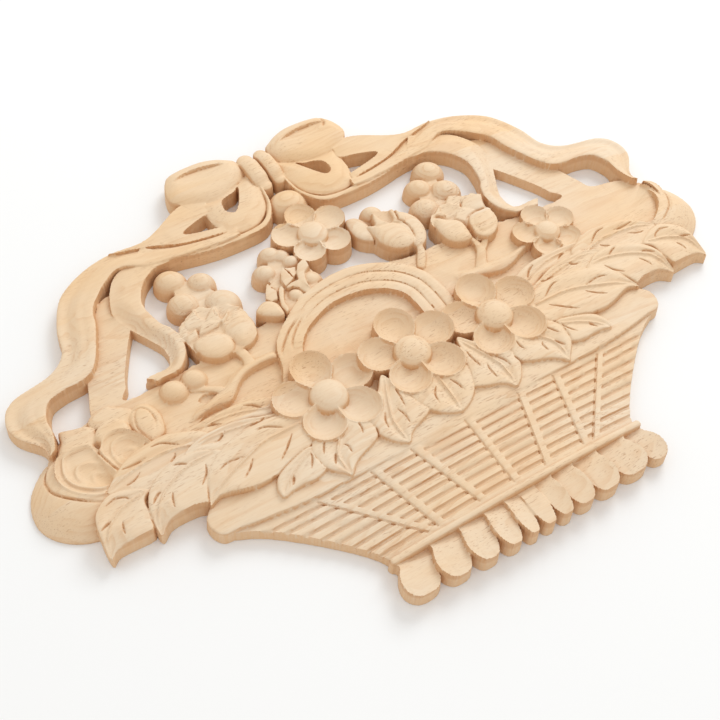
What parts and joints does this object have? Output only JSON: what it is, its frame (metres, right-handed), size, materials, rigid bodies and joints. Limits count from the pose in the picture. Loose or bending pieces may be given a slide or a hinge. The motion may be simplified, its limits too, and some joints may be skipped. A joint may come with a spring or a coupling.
{
  "type": "carved wood applique",
  "caption": "Flat-backed, pierced wood carving for furniture fronts: a basket of flowers, fruit and leaves under a ribbon bow.",
  "frame": {"origin": "on the flat back, behind the plain panel inside the basket's handle", "axes": "+X along the basket's rim, to the right as it hangs; +Y up, towards the bow; +Z out of the carved face"},
  "size_m": [0.4247, 0.3119, 0.0187],
  "materials": {
    "raw_wood": "pale open-pored hardwood, sanded, no finish"
  },
  "bodies": {
    "root": {"carved_basket_applique": "raw_wood"}
  },
  "joints": []
}
